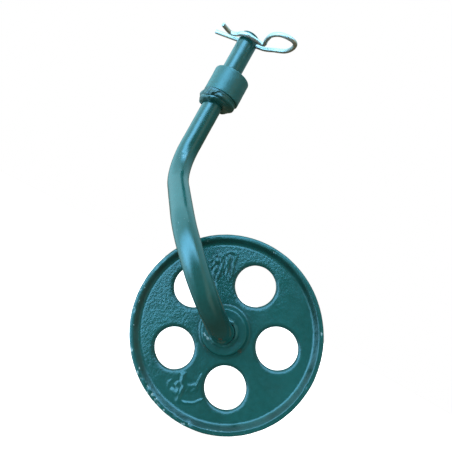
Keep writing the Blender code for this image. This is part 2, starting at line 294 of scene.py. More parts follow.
def tube(centre, tangent, side, radius, columns):
    """A round bar: around each centre a circle of that radius in the plane square to the tangent, starting
    at the side direction."""
    across = np.cross(tangent, side)
    angle = full_turn(columns)[None, :, None]
    ring = np.cos(angle) * side[:, None] + np.sin(angle) * across[:, None]
    return centre[:, None] + np.asarray(radius)[:, None, None] * ring


def domed(centre, tangent, side, radius, rounding, rows=6, caps=5):
    """Adds rounded edges and closed ends to a bar's rows: the edge follows a quarter circle of the
    rounding, then the flat end shrinks to its middle."""
    lean = np.linspace(0, np.pi / 2, rows)[1:]
    inset = np.concatenate([rounding * (1 - np.cos(lean)), np.linspace(rounding, radius[0], caps)[1:]])
    ahead = np.concatenate([rounding * np.sin(lean), np.full(caps - 1, rounding)]) - rounding
    head = centre[0] - tangent[0] * ahead[::-1, None]
    tail = centre[-1] + tangent[-1] * ahead[:, None]
    inner = (centre[1:-1], tangent[1:-1], side[1:-1], radius[1:-1])
    count = len(inset)
    shoulder = (centre[:1] + tangent[:1] * rounding, centre[-1:] - tangent[-1:] * rounding)
    centres = np.vstack([head, shoulder[0], inner[0], shoulder[1], tail])
    tangents = np.vstack([np.repeat(tangent[:1], count + 1, 0), inner[1],
                          np.repeat(tangent[-1:], count + 1, 0)])
    sides = np.vstack([np.repeat(side[:1], count + 1, 0), inner[2], np.repeat(side[-1:], count + 1, 0)])
    radii = np.concatenate([(radius[0] - inset)[::-1], radius[:1], inner[3],
                            radius[-1:], radius[-1] - inset])
    return centres, tangents, sides, radii


def lathe(outline, angles, centre, axis_y=True):
    """The outline of (radius, height) points carried round an axis along Y, or along Z."""
    r = outline[:, 0][:, None]
    h = np.broadcast_to(outline[:, 1][:, None], (len(outline), len(angles)))
    c, s = r * np.cos(angles), r * np.sin(angles)
    local = np.stack([c, h, s] if axis_y else [c, s, h], axis=-1)
    return centre + local


def curve_through(knots, steps):
    """Catmull-Rom curve: between knots p1 and p2 the point is
    (2 p1 + (p2 - p0) t + (2 p0 - 5 p1 + 4 p2 - p3) t^2 + (3 p1 - p0 - 3 p2 + p3) t^3) / 2."""
    k = np.vstack([2 * knots[0] - knots[1], knots, 2 * knots[-1] - knots[-2]])
    p0, p1, p2, p3 = (k[i:len(k) - 3 + i, None] for i in range(4))
    t = np.linspace(0, 1, steps, endpoint=False)[None, :, None]
    found = 0.5 * (2 * p1 + (p2 - p0) * t + (2 * p0 - 5 * p1 + 4 * p2 - p3) * t ** 2
                   + (3 * p1 - p0 - 3 * p2 + p3) * t ** 3)
    return np.vstack([found.reshape(-1, knots.shape[1]), knots[-1:]])


# ---------------------------------------------------------------- materials
def sockets(tree, kind, links, **settings):
    """Adds a node, sets its own settings, and fills its inputs with numbers or other nodes' outputs."""
    made = tree.nodes.new(kind)
    for name, value in settings.items():
        setattr(made, name, value)
    for name, value in links.items():
        if isinstance(value, bpy.types.NodeSocket):
            tree.links.new(value, made.inputs[name])
        else:
            made.inputs[name].default_value = value
    return made


def speckle(tree, place, scale, detail=2.0, rough=0.5):
    """Cloudy pattern, 0 to 1, with `scale` lumps to the metre."""
    made = sockets(tree, "ShaderNodeTexNoise", {"Vector": place, "Scale": scale, "Detail": detail,
                                                "Roughness": rough})
    return made.outputs["Fac"]


def spread(tree, value, low, high, to_low=0.0, to_high=1.0):
    """Maps low..high onto to_low..to_high and holds the ends."""
    made = sockets(tree, "ShaderNodeMapRange", {"Value": value, "From Min": low, "From Max": high,
                                                "To Min": to_low, "To Max": to_high})
    return made.outputs["Result"]


def sum_of(tree, kind, a, b):
    """Arithmetic of two numbers: ADD, MULTIPLY, MAXIMUM and so on."""
    made = sockets(tree, "ShaderNodeMath", {0: a, 1: b}, operation=kind)
    return made.outputs[0]


def blend_of(tree, share, first, second):
    """Mixes two colours by a share."""
    made = tree.nodes.new("ShaderNodeMix")
    made.data_type = "RGBA"
    for name, value in (("Factor", share), ("A", first), ("B", second)):
        socket = made.inputs[name]
        if isinstance(value, bpy.types.NodeSocket):
            tree.links.new(value, socket)
        else:
            socket.default_value = value if not isinstance(value, tuple) else (*value, 1.0)
    return made.outputs["Result"]


def reading(tree, name):
    """The number stored on the mesh under that name."""
    return sockets(tree, "ShaderNodeAttribute", {}, attribute_name=name).outputs["Fac"]


ENAMEL = (0.0068, 0.0950, 0.0920)
ENAMEL_DEEP = (0.0046, 0.0690, 0.0640)
ENAMEL_THIN = (0.0145, 0.1400, 0.1430)
RUST = (0.060, 0.030, 0.014)
# Colour for painted shade and grime: the wheel's hollows and fold sides, the crank near the wheel, and the
# stop ring and its weld.
SHADE_AND_GRIME = (0.0045, 0.0230, 0.0170)
BARE_IRON = (0.30, 0.50, 0.54)
ZINC_COOL = (0.4536, 0.4536, 0.4428)
ZINC_WARM = (0.4860, 0.4428, 0.3780)
ZINC_SPOTS = (0.22, 0.23, 0.22)


def enamel(name, grain, grain_height, peel, roughness, index, coat):
    """Brushed-on gloss enamel with that refractive index and weight of clear coat. Colour: deep and thin
    patches of one green-blue, with painted shade and grime, bare metal and rust where the mesh is marked
    for them. Relief: casting grain of the given scale where marked, and a slight orange peel all over. A
    piece marked dull has a duller gloss."""
    material = bpy.data.materials.new(name)
    material.use_nodes = True
    tree = material.node_tree
    shader = tree.nodes["Principled BSDF"]
    place = sockets(tree, "ShaderNodeTexCoord", {}).outputs["Object"]
    broad = spread(tree, speckle(tree, place, 22.0, 3.0), 0.3, 0.7)
    fine = spread(tree, speckle(tree, place, 190.0, 3.0, 0.6), 0.25, 0.75)
    base = blend_of(tree, broad, ENAMEL_DEEP, ENAMEL)
    base = blend_of(tree, sum_of(tree, "MULTIPLY", fine, 0.30), base, ENAMEL_THIN)
    # Painted shade and grime: the colour darkens where the mesh is marked.
    shade_and_grime = sum_of(tree, "MULTIPLY", reading(tree, "shade_and_grime"), 0.8)
    base = blend_of(tree, shade_and_grime, base, SHADE_AND_GRIME)
    edge = spread(tree, speckle(tree, place, 520.0, 3.0, 0.7), 0.35, 0.65, -0.30, 0.30)
    worn = spread(tree, sum_of(tree, "ADD", reading(tree, "worn"), edge), 0.35, 0.80)
    rust = spread(tree, sum_of(tree, "ADD", reading(tree, "rust"), edge), 0.30, 0.75)
    base = blend_of(tree, worn, base, BARE_IRON)
    base = blend_of(tree, rust, base, RUST)
    tree.links.new(base, shader.inputs["Base Color"])
    patchy = spread(tree, speckle(tree, place, 60.0, 4.0), 0.3, 0.7, roughness * 0.75, roughness * 1.3)
    broken = sum_of(tree, "MULTIPLY", sum_of(tree, "MAXIMUM", rust, worn), 0.6)
    rough = sum_of(tree, "MAXIMUM", patchy, broken)
    rough = sum_of(tree, "MAXIMUM", rough, sum_of(tree, "MULTIPLY", reading(tree, "dull"), 0.40))
    tree.links.new(rough, shader.inputs["Roughness"])
    shader.inputs["IOR"].default_value = index
    shader.inputs["Coat Weight"].default_value = coat
    shader.inputs["Coat Roughness"].default_value = 0.16
    coarse = sum_of(tree, "MULTIPLY", speckle(tree, place, grain, 3.0, 0.6), reading(tree, "grain"))
    skin = speckle(tree, place, 900.0, 2.0, 0.5)
    relief = sum_of(tree, "ADD", sum_of(tree, "MULTIPLY", coarse, grain_height),
                    sum_of(tree, "MULTIPLY", skin, peel))
    bump = sockets(tree, "ShaderNodeBump", {"Height": relief, "Strength": 1.0, "Distance": 0.001})
    tree.links.new(bump.outputs["Normal"], shader.inputs["Normal"])
    return material


def zinc(name, cool, warm):
    """Bright zinc plating on steel wire: silver with faint cool and straw patches, a fine grain and small
    dull spots."""
    material = bpy.data.materials.new(name)
    material.use_nodes = True
    tree = material.node_tree
    shader = tree.nodes["Principled BSDF"]
    place = sockets(tree, "ShaderNodeTexCoord", {}).outputs["Object"]
    patch = spread(tree, speckle(tree, place, 55.0, 2.0), 0.35, 0.65)
    base = blend_of(tree, patch, cool, warm)
    spots = spread(tree, speckle(tree, place, 900.0, 3.0, 0.7), 0.56, 0.72)
    base = blend_of(tree, sum_of(tree, "MULTIPLY", spots, 0.5), base, ZINC_SPOTS)
    tree.links.new(base, shader.inputs["Base Color"])
    shader.inputs["Metallic"].default_value = 0.9
    rough = spread(tree, speckle(tree, place, 420.0, 3.0), 0.3, 0.7, 0.34, 0.52)
    tree.links.new(rough, shader.inputs["Roughness"])
    bump = sockets(tree, "ShaderNodeBump", {"Height": speckle(tree, place, 1300.0, 2.0), "Strength": 0.5,
                                            "Distance": 0.0002})
    tree.links.new(bump.outputs["Normal"], shader.inputs["Normal"])
    return material


# ---------------------------------------------------------------- the cast wheel
def hole_sector(middle):
    """One fifth of the web, with its hole. Seen along the axle the hole lies inside a closed outline: the
    rim's arc, a straight side, the boss's arc and the other side. Each column runs from a point of that
    outline straight to the hole, rolls in over the front edge along a quarter ellipse (radius = throat +
    flare (1 - cos a), depth = throat depth x (1 - sin a)), widens along a cone, rolls over the back edge,
    and runs back out on the far face."""
    half = math.pi / HOLE_COUNT
    rim_arc = np.linspace(-half, half, RIM_COLUMNS + 1)[:-1]
    boss_arc = np.linspace(half, -half, BOSS_COLUMNS + 1)[:-1]
    angles = middle + np.concatenate([rim_arc, np.full(SIDE_ROWS, half),
                                      boss_arc, np.full(SIDE_ROWS, -half)])
    side = np.linspace(WEB_END, WEB_START, SIDE_ROWS + 1)
    radii = np.concatenate([np.full(RIM_COLUMNS, WEB_END), side[:-1],
                            np.full(BOSS_COLUMNS, WEB_START), side[:0:-1]])
    centre = on_circle(HOLE_PITCH, middle)
    away = on_circle(radii, angles) - centre
    reach = np.linalg.norm(away, axis=-1)
    share = np.linspace(0, 1, WEB_ROWS)[:, None] ** 1.25
    lean = np.linspace(np.pi / 2, 0, 11)[1:]
    cone = np.linspace(0, 1, 7)[1:]
    roll = np.linspace(0, np.pi / 2, 6)[1:]
    thick = WEB_FRONT + WEB_BACK
    straight = thick - HOLE_BACK_EDGE
    bore_out = HOLE_THROAT + HOLE_DRAFT
    in_radii = np.concatenate([HOLE_THROAT + HOLE_FLARE * (1 - np.cos(lean)),
                               HOLE_THROAT + HOLE_DRAFT * cone,
                               bore_out + HOLE_BACK_EDGE * (1 - np.cos(roll))])
    in_depths = np.concatenate([HOLE_THROAT_DEPTH * (1 - np.sin(lean)),
                                HOLE_THROAT_DEPTH + (straight - HOLE_THROAT_DEPTH) * cone,
                                straight + HOLE_BACK_EDGE * np.sin(roll)])
    front_edge = HOLE_THROAT + HOLE_FLARE
    back_edge = bore_out + HOLE_BACK_EDGE
    front = front_edge + (reach - front_edge) * share[::-1]
    back = back_edge + (reach - back_edge) * share[1:]
    distance = np.vstack([front, np.repeat(in_radii[:, None], len(reach), 1), back])
    depth = np.concatenate([np.zeros(WEB_ROWS), in_depths, np.full(WEB_ROWS - 1, thick)]) - WEB_FRONT
    flat = centre + (away / reach[:, None])[None] * distance[..., None]
    depth = np.broadcast_to(depth[:, None], distance.shape)
    return AXLE + np.stack([flat[..., 0], depth, flat[..., 1]], axis=-1)


# Marks on the wheel's front, in millimetres along X and Z from the axle.
PIT = (-79.9, -18.0)
FOLD_MIDDLE = (-34.0, 61.0)
FOLD_REACH = 0.0230

# Where the lip is nicked: place and width.
NICKS = (
    ((-94.8, -26.5), 2.6), ((-95.6, 24.0), 2.4), ((-92.6, 34.4), 1.8), ((-43.0, -86.8), 2.8),
    ((-35.5, -90.4), 3.2), ((-30.0, -93.5), 3.6), ((-25.5, -95.6), 2.6), ((11.5, -96.0), 3.0),
    ((-6.5, -96.6), 1.8), ((51.6, -73.5), 3.4), ((87.2, 45.6), 2.2), ((-60.6, 74.6), 2.0),
    ((-50.5, 82.0), 1.8), ((8.1, 96.2), 1.6), ((-53.0, -82.0), 1.8), ((68.0, 70.0), 1.5),
    ((96.5, -8.0), 1.4))

# Folds of skinned paint near the top of the web, each a bent line.
FOLDS = (
    ((-45, 70), (-40, 66), (-36, 73), (-31, 77), (-26, 75.5), (-23, 64), (-20, 53)),
    ((-48, 57), (-44, 62.5), (-40, 60), (-36, 65.5), (-28, 66)),
    ((-39, 55), (-38.5, 48.5), (-36, 42)),
    ((-33.5, 61.5), (-33.2, 55), (-33, 44)),
    ((-27.5, 59.5), (-26, 53.5), (-21, 50.5)),
    ((-46, 65), (-42, 57), (-43, 51)),
    ((-31, 70), (-29, 62), (-31, 55)))

# Thick runs near its foot: bent line, half width and height.
RUNS = (
    (((-17, -59), (-14.3, -65.3), (-10.4, -69.4), (-10.2, -77), (-9.4, -84.5)), 2.9, 1.1),
    (((-9.4, -69.6), (-3.7, -65.8), (0.6, -61.5), (0, -52)), 1.7, 0.8),
    (((-6.5, -71.5), (-1.5, -68), (2.4, -63.4)), 1.3, 0.6),
    (((-20, -77.5), (-12.8, -79)), 2.6, 1.0),
    (((-18.5, -70), (-14, -73.5), (-11, -81)), 2.6, 0.9),
    (((-24.4, -77.4), (-26.5, -72.2), (-25.3, -69.9)), 1.3, 0.5),
    (((-11.7, -83.4), (-0.8, -82), (7.6, -76.3), (11.4, -71.1)), 1.5, 0.6))


def from_place(flat, place):
    """Distance of each point of the wheel's side from a place in millimetres."""
    return np.linalg.norm(flat - MM * np.array(place), axis=1)


def fold_distance(flat, points):
    """Distance to the nearest fold, with the fold wandering by up to a millimetre."""
    wander = 0.0011 * np.stack([lumps(points, 0.0045, 16), lumps(points, 0.0045, 17)], axis=-1)
    return np.min([to_stroke(flat + wander, MM * np.array(fold)) for fold in FOLDS], axis=0)


def crumpled_paint(flat, points):
    """Thin folds up to 2 mm high along the bent lines, broken in height, over a slightly raised rough
    patch."""
    inside = (flat - MM * np.array(FOLD_MIDDLE)) / np.array([0.8, 1.0])
    patch = hill(np.linalg.norm(inside, axis=1), FOLD_REACH)
    broken = 0.65 + 0.35 * lumps(points, 0.0030, 18)
    crease = 1 - np.abs(lumps(points, 0.0038, 19)) * 3
    folds = 0.0020 * hill(fold_distance(flat, points), 0.0015) * broken
    return folds + 0.00028 * patch * np.clip(crease, -0.5, 1)


def thick_runs(flat, points):
    """Rounded runs of thick paint along bent lines, each with its own width and height. The height swells
    along the way by 1.44 + 0.63 lumps."""
    wander = 0.0008 * np.stack([lumps(points, 0.0050, 26), lumps(points, 0.0050, 27)], axis=-1)
    swell = 1.44 + 0.63 * lumps(points, 0.0060, 28)
    rises = [MM * rise * hill(to_stroke(flat + wander, MM * np.array(run)), MM * width)
             for run, width, rise in RUNS]
    return np.max(rises, axis=0) * swell


def cast_shape():
    """The bare casting: boss and rim turned about the axle, and five sectors of web between them."""
    half = math.pi / HOLE_COUNT
    hub_outline = spaced(rounded([
        (WEB_START, -WEB_FRONT, 0), (BOSS_FOOT, -WEB_FRONT, 0.0034), (BOSS, -HUB_FACE, 0.0018),
        (BORE, -HUB_FACE, 0.0006), (BORE, HUB_FACE, 0.0006), (BOSS, HUB_FACE, 0.0018),
        (BOSS_FOOT, WEB_BACK, 0.0034), (WEB_START, WEB_BACK, 0)]), 0.0014)
    tread = WHEEL_RADIUS + PAINT
    rim_outline = spaced(rounded([
        (WEB_END, -WEB_FRONT, 0), (RIM_FOOT, -WEB_FRONT, 0.0042), (LIP_START, -RIM_FACE, 0.0017),
        (tread, -RIM_FACE, 0.0022), (tread, RIM_FACE, 0.0020),
        (LIP_START, RIM_FACE, 0.0010), (BACK_FOOT, WEB_BACK, 0.0040), (WEB_END, WEB_BACK, 0)]), 0.0011)
    start = FIRST_HOLE - half
    hub = lathe(hub_outline, start + full_turn(BOSS_COLUMNS * HOLE_COUNT), AXLE)
    rim = lathe(rim_outline, start + full_turn(RIM_COLUMNS * HOLE_COUNT), AXLE)
    sectors = [hole_sector(FIRST_HOLE + 2 * half * k) for k in range(HOLE_COUNT)]
    return shell("cast_wheel", [(grid, True, None) for grid in (hub, rim, *sectors)])


def wheel_relief(points, flat, r, front):
    """Height of the casting's skin: broad and fine lumps, folds and runs of paint on the web, less a pit,
    the nicks in the lip and the scratched tread."""
    height = layered(points, (0.00014, 0.024, 3), (0.00010, 0.009, 4),
                     (0.00006, 0.0042, 5), (0.00004, 0.0024, 6))
    web = front * step(r, 0.030, 0.034) * step(0.0890 - r, 0, 0.002)
    height += web * (crumpled_paint(flat, points) + thick_runs(flat, points))
    height -= 0.0007 * hill(from_place(flat, PIT), 0.0022) * front
    height -= 0.0011 * nicked(flat) * step(r, 0.088, 0.091)
    scratched = np.abs(lumps(points * np.array([1, 3, 1]), 0.0018, 9))
    return height - 0.00014 * step(r, 0.0985, 0.0995) * scratched


def nicked(flat):
    """1 in the middle of each nick, falling to 0 at its edge."""
    return np.max([hill(from_place(flat, place), MM * size) for place, size in NICKS], axis=0)


def wheel_wear(points, local, flat, r):
    """Bare metal: knocks along the lip, most at the lower left, and the nicks; on the boss face, weld
    splashes whose pale colour is partly a painted highlight.
    """
    lip = step(-local[:, 1], RIM_FACE - 0.0045, RIM_FACE - 0.0010) * step(r, 0.0935, 0.0955)
    knocked = step(layered(points, (1.0, 0.0030, 12), (0.35, 0.0011, 13)), 0.30, 0.65)
    angle = np.arctan2(flat[:, 1], flat[:, 0])
    most = 0.15 + 0.85 * step(np.cos(angle + math.radians(125)), 0.1, 0.8)
    edges = lip * np.maximum(hill(r - 0.0990, 0.0022), 0.7 * hill(r - 0.0958, 0.0012))
    # A pale stroke and spot on the boss face: weld splashes painted bright as a highlight.
    stroke = hill(to_stroke(flat, MM * np.array([(-16.7, -11.8), (-9.6, -14.5)])), 0.0025)
    glint_and_spatter = np.maximum(stroke, 0.8 * hill(from_place(flat, (-5.3, -15.6)), 0.0019))
    boss_face = step(-local[:, 1], HUB_FACE - 0.0010, HUB_FACE - 0.0004)
    return knocked * most * edges + 0.6 * nicked(flat) * lip + 0.62 * glint_and_spatter * boss_face


def wheel_painted_shade(points, flat, r):
    """Painted shade in the hollows next to the rim and the boss, along each fold and in the holes' flares."""
    hollow_shade = hill(r - 0.0940, 0.0042) + 0.5 * hill(r - 0.0272, 0.0030)
    hollow_shade *= 0.8 + 0.3 * lumps(points, 0.012, 14)
    fold_shade = 0.65 * hill(fold_distance(flat, points) - 0.0021, 0.0012)
    centres = on_circle(HOLE_PITCH, FIRST_HOLE + full_turn(HOLE_COUNT))
    flare = np.min([np.abs(np.linalg.norm(flat - centre, axis=1) - 0.0232) for centre in centres], axis=0)
    return np.max([hollow_shade, fold_shade, 0.5 * hill(flare, 0.0022)], axis=0)


def build_wheel(material):
    """The casting with its skin raised along its outward direction, and marked for wear, grain, painted
    shade and rust."""
    mesh = cast_shape()
    points = points_of(mesh)[0]
    local = points - AXLE
    flat = local[:, [0, 2]]
    r = np.linalg.norm(flat, axis=1)
    front = step(-local[:, 1], WEB_FRONT - 0.0060, WEB_FRONT - 0.0010)
    solid = step(r, BORE + 0.0008, BORE + 0.0035)
    raise_surface(mesh, wheel_relief(points, flat, r, front) * solid)
    mark(mesh, "worn", wheel_wear(points, local, flat, r))
    rough_side = step(flat @ unit(np.array([-0.88, 0.48])), -0.030, 0.075)
    grain = 0.20 + 0.80 * rough_side * step(0.0900 - r, 0, 0.002) * step(r, 0.026, 0.030)
    mark(mesh, "grain", grain * (1 - 0.7 * hill(from_place(flat, FOLD_MIDDLE), FOLD_REACH)))
    # Painted shade in the hollows of the wheel's front.
    mark(mesh, "shade_and_grime", front * wheel_painted_shade(points, flat, r))
    seep = 0.30 * hill(r - 0.0258, 0.0030) * step(lumps(points, 0.008, 15), 0.1, 0.7)
    rust = front * (0.6 * hill(from_place(flat, (23.5, -9.8)), 0.0050) + seep)
    mark(mesh, "rust", rust + 0.5 * (1 - solid))
    return piece("cast_wheel", mesh, material, "wheel", "wheel")


# ---------------------------------------------------------------- the cranked bar
def bar_path(corners, bends, spacing, first_side):
    """Straight runs joined by arcs. Through a bend of radius R the centre is start + R (sin a . along +
    (1 - cos a) . inward), and the side direction turns with it about the bend's own axis."""
    centre = []
    tangent = []
    side = []
    at = corners[0]
    along = unit(corners[1] - corners[0])
    across = first_side
    for corner, after, radius in zip(corners[1:-1], corners[2:], bends):
        leaving = unit(after - corner)
        turn = math.acos(along @ leaving)
        axis = unit(np.cross(along, leaving))
        start = corner - along * radius * math.tan(turn / 2)
        inward = np.cross(axis, along)
        count = math.ceil(np.linalg.norm(start - at) / spacing)
        centre.append(at + (start - at) * np.linspace(0, 1, count, endpoint=False)[:, None])
        tangent.append(np.repeat(along[None], count, 0))
        side.append(np.repeat(across[None], count, 0))
        angle = np.linspace(0, turn, math.ceil(radius * turn / spacing), endpoint=False)
        a = angle[:, None]
        centre.append(start + radius * (np.sin(a) * along + (1 - np.cos(a)) * inward))
        tangent.append(turned_about(along, axis, angle))
        side.append(turned_about(across, axis, angle))
        across = turned_about(across, axis, turn)[0]
        at = start + radius * (math.sin(turn) * along + (1 - math.cos(turn)) * inward)
        along = leaving
    count = math.ceil(np.linalg.norm(corners[-1] - at) / spacing) + 1
    centre.append(at + (corners[-1] - at) * np.linspace(0, 1, count)[:, None])
    tangent.append(np.repeat(along[None], count, 0))
    side.append(np.repeat(across[None], count, 0))
    return np.vstack(centre), np.vstack(tangent), np.vstack(side)


def spindle_corners():
    """The ends and corners of the bar's four straight lines: shank, lean out, lean back in and axle."""
    toward_knee = unit(np.array([-TRAIL, 0.0, KNEE_RISE]))
    elbow = ELBOW_START + ELBOW_RADIUS * math.tan(ELBOW_TURN / 2)
    bulge = elbow + CRANK_REACH / math.tan(ELBOW_TURN)
    return [
        np.array([0.0, 0.0, SHANK_TOP]),
        np.array([0.0, 0.0, KNEE_RISE - AXLE_DROP]),
        AXLE + toward_knee * CRANK_REACH - ALONG_Y * bulge,
        AXLE - ALONG_Y * elbow,
        AXLE + ALONG_Y * AXLE_END,
    ]


def drilled(grid, centre, along, out, radius):
    """A round hole through a straight stretch of bar whose column 0 faces `out`. Seen along the hole, the
    block of faces round each mouth is a closed outline; each of its points runs straight to the hole's
    circle, lifted onto the bar by x = sqrt(R^2 - q^2), then through the bar to the other mouth. Returns the
    new grid and the faces of the bar that it takes the place of."""
    rows, columns = grid.shape[:2]
    across = np.cross(along, out)
    depth = (grid.mean(axis=1) - centre) @ along
    apart = np.linalg.norm(grid.mean(axis=1) - centre, axis=1)
    inside = np.flatnonzero((np.abs(depth) < 0.0046) & (apart < 0.006))
    low = inside[0]
    high = inside[-1]
    reach = 4
    up = np.arange(low, high)
    turn = np.arange(-reach, reach)
    ring_rows = np.concatenate([np.full(2 * reach, low), up, np.full(2 * reach, high), up[::-1] + 1])
    ring_columns = np.concatenate([turn, np.full(len(up), reach), turn[::-1] + 1, np.full(len(up), -reach)])
    border = grid[ring_rows, ring_columns % columns] - centre
    place = np.stack([border @ along, border @ across], axis=-1)
    mouth = radius * unit(place)
    share = np.linspace(0, 1, 6)[:, None, None]
    plane = place * (1 - share) + mouth * share
    lift = np.sqrt(BAR ** 2 - plane[..., 1] ** 2)
    through = np.linspace(1, -1, 12)[1:-1, None] * lift[-1]
    plane = np.concatenate([plane, np.broadcast_to(mouth, (10, *mouth.shape)), plane[::-1]])
    lift = np.concatenate([lift, through, -lift[::-1]])
    patch = centre + plane[..., :1] * along + plane[..., 1:] * across + lift[..., None] * out
    hidden = np.zeros((rows, columns), bool)
    half = columns // 2
    hidden[low:high, np.arange(-reach, reach) % columns] = True
    hidden[low:high, half - reach:half + reach] = True
    return patch, hidden


def near(points, place, size):
    """A smooth round spot of that radius about a place given in millimetres."""
    return hill(np.linalg.norm(points - MM * np.array(place), axis=1), MM * size)


def build_spindle(material):
    """The bar is swept from the shank's top to the end of the axle. Its columns turn slowly on the way, so
    that column 0 faces the clip's hole at one end and the split pin's hole at the other."""
    clip_out = np.array([math.cos(CLIP_TURN), math.sin(CLIP_TURN), 0.0])
    bends = (KNEE_RADIUS, CRANK_RADIUS, ELBOW_RADIUS)
    centre, tangent, side = bar_path(spindle_corners(), bends, 0.0013, clip_out)
    across = np.cross(tangent[-1], side[-1])
    twist = math.atan2(UP @ across, UP @ side[-1]) * np.linspace(0, 1, len(centre) - 60)
    twist = np.concatenate([np.zeros(30), twist, np.full(30, twist[-1])])[:, None]
    side = side * np.cos(twist) + np.cross(tangent, side) * np.sin(twist)
    rows = domed(centre, tangent, side, np.full(len(centre), BAR), 0.0016)
    grid = tube(*rows, BAR_COLUMNS)
    clip_patch, clip_hidden = drilled(grid, UP * CLIP_HEIGHT, -UP, clip_out, CLIP_HOLE)
    pin_patch, pin_hidden = drilled(grid, AXLE + ALONG_Y * PIN_PLACE, ALONG_Y, UP, PIN_HOLE)
    mesh = shell("cranked_bar", [(grid, True, clip_hidden | pin_hidden), (clip_patch, True, None),
                                 (pin_patch, True, None)])
    points = points_of(mesh)[0]
    height = layered(points, (0.00009, 0.016, 21), (0.00004, 0.006, 22)) - 0.00008
    specks = step(lumps(points, 0.0016, 23), 0.45, 0.8)
    dusty = near(points, (56, -79, -158), 22) + near(points, (3, -13, -78), 12)
    dusty += near(points, (86, -85, -190), 16)
    height += 0.00022 * specks * dusty
    height -= 0.0003 * near(points, (2, -14, -80), 3.5) + 0.0002 * near(points, (110, -75, -215), 4)
    clear = np.minimum(np.linalg.norm(points - UP * CLIP_HEIGHT, axis=1),
                       np.linalg.norm(points - AXLE - ALONG_Y * PIN_PLACE, axis=1))
    raise_surface(mesh, height * step(clear, 0.0115, 0.0160))
    scuff = near(points, (1, -13, -84), 13) + 0.5 * near(points, (-3, -12, -64), 6)
    rubbed = 0.36 * scuff * step(lumps(points, 0.0040, 24), -0.7, 0.2)
    mark(mesh, "worn", rubbed + 0.5 * specks * dusty * (1 - 0.8 * scuff))
    # Painted shade on the crank where it runs close to the wheel.
    shade = near(points, (124, -58, -226), 46) * (0.75 + 0.35 * lumps(points, 0.014, 25))
    mark(mesh, "shade_and_grime", shade * step(points[:, 1], -0.105, -0.060))
    mark(mesh, "grain", np.ones(len(points)))
    rust = 0.8 * near(points, (137, -48, -235.5), 4.5) + 0.35 * near(points, (128, -52, -232), 8)
    mark(mesh, "rust", rust)
    return piece("cranked_bar", mesh, material, "spindle", "spindle")


# ---------------------------------------------------------------- stop ring, sleeve and the hub's stop
def box_of(node):
    """The node's box, as two arrays."""
    return (np.array(corner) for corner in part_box(node))


def turned_ring(name, centre, inner, outer, length, fillets, spacing, columns=RING_COLUMNS, axis_y=True):
    """A ring of four-cornered section. Its fillets are those of the inner and outer corner at the near end,
    then of the outer and inner corner at the far end."""
    near_in, near_out, far_out, far_in = fillets
    outline = spaced(rounded([
        (inner, length * 0.5, 0), (inner, 0, near_in), (outer, 0, near_out), (outer, length, far_out),
        (inner, length, far_in), (inner, length * 0.5, 0)]), spacing)
    return shell(name, [(lathe(outline, full_turn(columns), centre, axis_y), True, None)])


def build_sleeve(material):
    """A plain turned sleeve, a little lumpy, in a duller coat."""
    low, high = box_of("thrust_sleeve")
    centre = np.array([(low[0] + high[0]) / 2, (low[1] + high[1]) / 2, low[2]])
    outer = (high[0] - low[0]) / 2
    mesh = turned_ring("thrust_collar", centre, outer - SLEEVE_WALL, outer, high[2] - low[2],
                       (0.0008, 0.0008, 0.0012, 0.0010), 0.0012, axis_y=False)
    points = points_of(mesh)[0]
    raise_surface(mesh, layered(points, (0.00012, 0.012, 31), (0.00006, 0.004, 32)))
    mark(mesh, "dull", np.ones(len(points)))
    return piece("thrust_collar", mesh, material, "sleeve", "thrust_sleeve")


def build_stop_ring(material):
    """A plain ring with broad lumps, and finer ones on the side that faces the crank. It is then leaned over,
    with its shoulder rounded off on the side away from the wheel."""
    low, high = box_of("stop_ring")
    outer = (high[0] - low[0]) / 2
    mesh = turned_ring("welded_stop", UP * low[2], WELD_BORE, outer, high[2] - low[2],
                       (0.0002, 0.0048, 0.0007, 0.0002), 0.0009, axis_y=False)
    points = points_of(mesh)[0]
    r = np.linalg.norm(points[:, :2], axis=1)
    rise = step(r, WELD_BORE + 0.001, WELD_BORE + 0.003)
    turn = points[:, 0] / np.maximum(r, 0.001)
    facing = step(-(points[:, 0] * 0.45 + points[:, 1] * 0.89) / np.maximum(r, 0.001), 0.2, 0.9)
    bumps = 0.0005 * lumps(points, 0.0070, 41)
    bumps += facing * layered(points, (0.0007, 0.0034, 42), (0.0005, 0.0018, 43))
    mark(mesh, "worn", 0.5 * facing * step(lumps(points, 0.0020, 44), 0.55, 0.9))
    mark(mesh, "dull", np.full(len(points), 0.9))
    # Darker all over, most on the side that faces the crank.
    mark(mesh, "shade_and_grime", 0.6 * facing + 0.3)
    top = step(points[:, 2], -0.0030, -0.0004)
    raise_surface(mesh, (bumps - 0.0003) * rise * (1 - top))
    shoulder = step(-turn, 0.2, 0.9) * hill(points[:, 2], 0.0050) * step(r, outer - 0.0030, outer)
    lean_stop(mesh, rise * (0.0016 + 0.0024 * turn) - 0.0024 * shoulder)
    return piece("welded_stop", mesh, material, "spindle", "stop_ring")


def lean_stop(mesh, amount):
    """Moves every point straight away from the shank's axis, and draws what lies below the flat land up, by
    z' = -land + (z + land)(0.78 - 0.18 cos a), so that the stop is shortest towards the wheel."""
    points = points_of(mesh)[0]
    level = unit(points * np.array([1, 1, 0]))
    moved = points + level * amount[:, None]
    drawn = -RING_LAND + (points[:, 2] + RING_LAND) * (0.78 - 0.18 * level[:, 0])
    moved[:, 2] = np.where(points[:, 2] < -RING_LAND, drawn, points[:, 2])
    mesh.vertices.foreach_set("co", moved.ravel())
    mesh.update()


def weld_bead(name, centre, size, drop, root, axis_y):
    """A bead on the near side of the ring it holds: a quarter oval on a root that is sunk in the ring."""
    lean = np.linspace(0, np.pi / 2, 9)
    dome = np.stack([WELD_BORE + size * np.cos(lean), -drop * np.sin(lean)], axis=-1)
    foot = np.array([[WELD_BORE, root], [WELD_BORE + size, root]])
    outline = spaced(np.vstack([foot, dome, foot[:1]]), 0.0004)
    return shell(name, [(lathe(outline, full_turn(RING_COLUMNS), centre, axis_y), True, None)])


